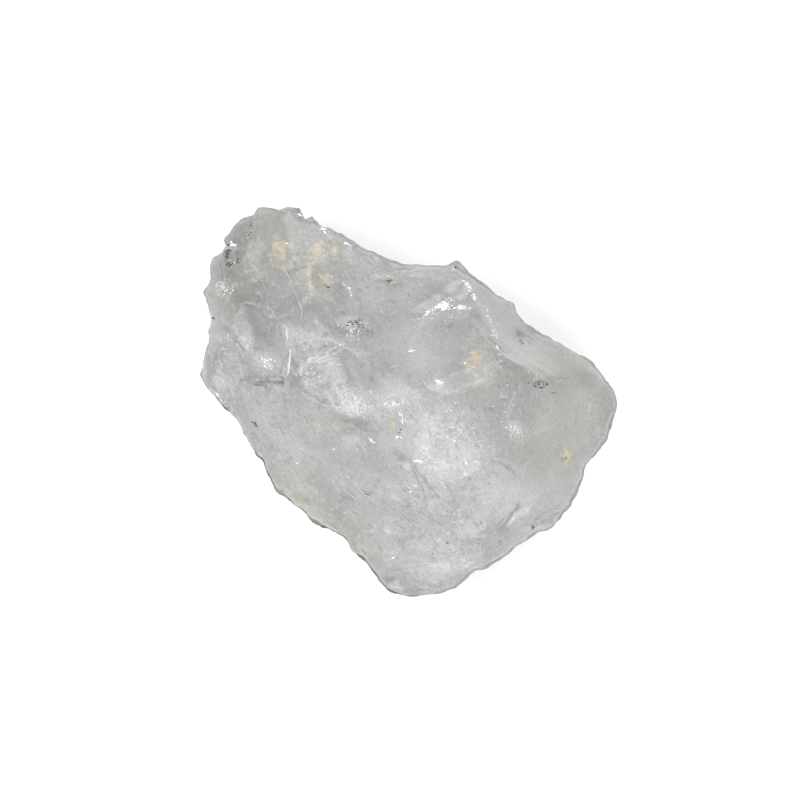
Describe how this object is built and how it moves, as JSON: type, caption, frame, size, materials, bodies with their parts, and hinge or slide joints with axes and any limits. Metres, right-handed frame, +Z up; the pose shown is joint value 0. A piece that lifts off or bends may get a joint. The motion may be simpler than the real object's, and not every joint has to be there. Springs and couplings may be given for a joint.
{
  "type": "rough quartz",
  "caption": "Rough lump of translucent grey-white quartz, broken all round: flat and bowl-shaped fracture faces, a high crown, a thin chipped wing and a flat face to rest on.",
  "frame": {"origin": "on the flat face that the lump rests on, under the middle of the box around it", "axes": "+X along the longest way across, towards the thick rounded end and away from the thin wing; +Z up, the shortest way; +Y across"},
  "size_m": [0.0548, 0.0384, 0.0251],
  "materials": {
    "quartz": "glassy fracture surface over cloudy translucent quartz"
  },
  "bodies": {
    "root": {"quartz": "quartz"}
  },
  "joints": []
}
